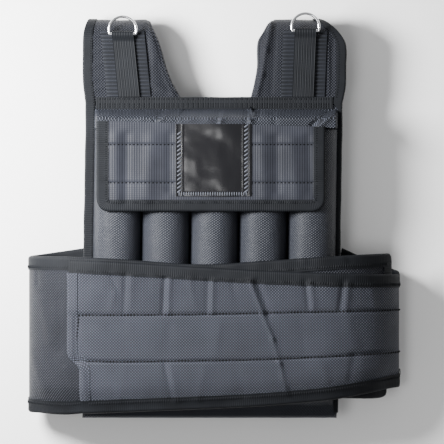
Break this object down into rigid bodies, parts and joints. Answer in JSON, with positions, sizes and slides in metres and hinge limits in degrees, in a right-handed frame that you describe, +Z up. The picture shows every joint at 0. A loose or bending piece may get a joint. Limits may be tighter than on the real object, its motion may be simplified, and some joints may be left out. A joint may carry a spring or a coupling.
{
  "type": "weighted vest",
  "caption": "Weighted exercise vest lying flat on its back: padded panels and shoulders, a row of weight pockets under a flap, wrap-round belt wings and D rings.",
  "frame": {"origin": "on the surface that the vest lies on, under the middle of its bounding box", "axes": "+X to the right as seen from above with the shoulders at the top, +Y from the hem towards the shoulders, +Z up out of the vest's front"},
  "size_m": [0.4114, 0.4464, 0.0885],
  "materials": {
    "nylon": "charcoal oxford nylon, matt with a slight sheen",
    "webbing": "dark woven webbing and binding tape, matt",
    "vinyl": "glossy black vinyl",
    "chrome": "bright chromed wire"
  },
  "bodies": {
    "vest": {"back_panel": "nylon", "front_panel": "nylon", "chest_band": "webbing", "shoulder_left": "nylon", "edge_tape_left": "webbing", "ladder_webbing_left": "webbing", "ring_strap_left": "webbing", "shoulder_right": "nylon", "edge_tape_right": "webbing", "ladder_webbing_right": "webbing", "ring_strap_right": "webbing", "weight_pocket_1": "nylon", "weight_pocket_2": "nylon", "weight_pocket_3": "nylon", "weight_pocket_4": "nylon", "weight_pocket_5": "nylon", "flap": "nylon", "flap_binding": "webbing", "window_patch": "vinyl", "belt_wing_inner": "nylon", "wing_binding_inner": "webbing", "belt_wing_outer": "nylon", "wing_binding_outer": "webbing"},
    "ring_left": {"d_ring_left": "chrome"},
    "ring_right": {"d_ring_right": "chrome"}
  },
  "joints": [
    {"name": "ring_left_swing", "type": "hinge", "parent": "vest", "child": "ring_left", "pos_m": [-0.1005, 0.19901, 0.05572], "axis": [1, 0, 0], "range_deg": [-40, 170]},
    {"name": "ring_right_swing", "type": "hinge", "parent": "vest", "child": "ring_right", "pos_m": [0.1005, 0.20251, 0.05457], "axis": [1, 0, 0], "range_deg": [-40, 170]}
  ]
}
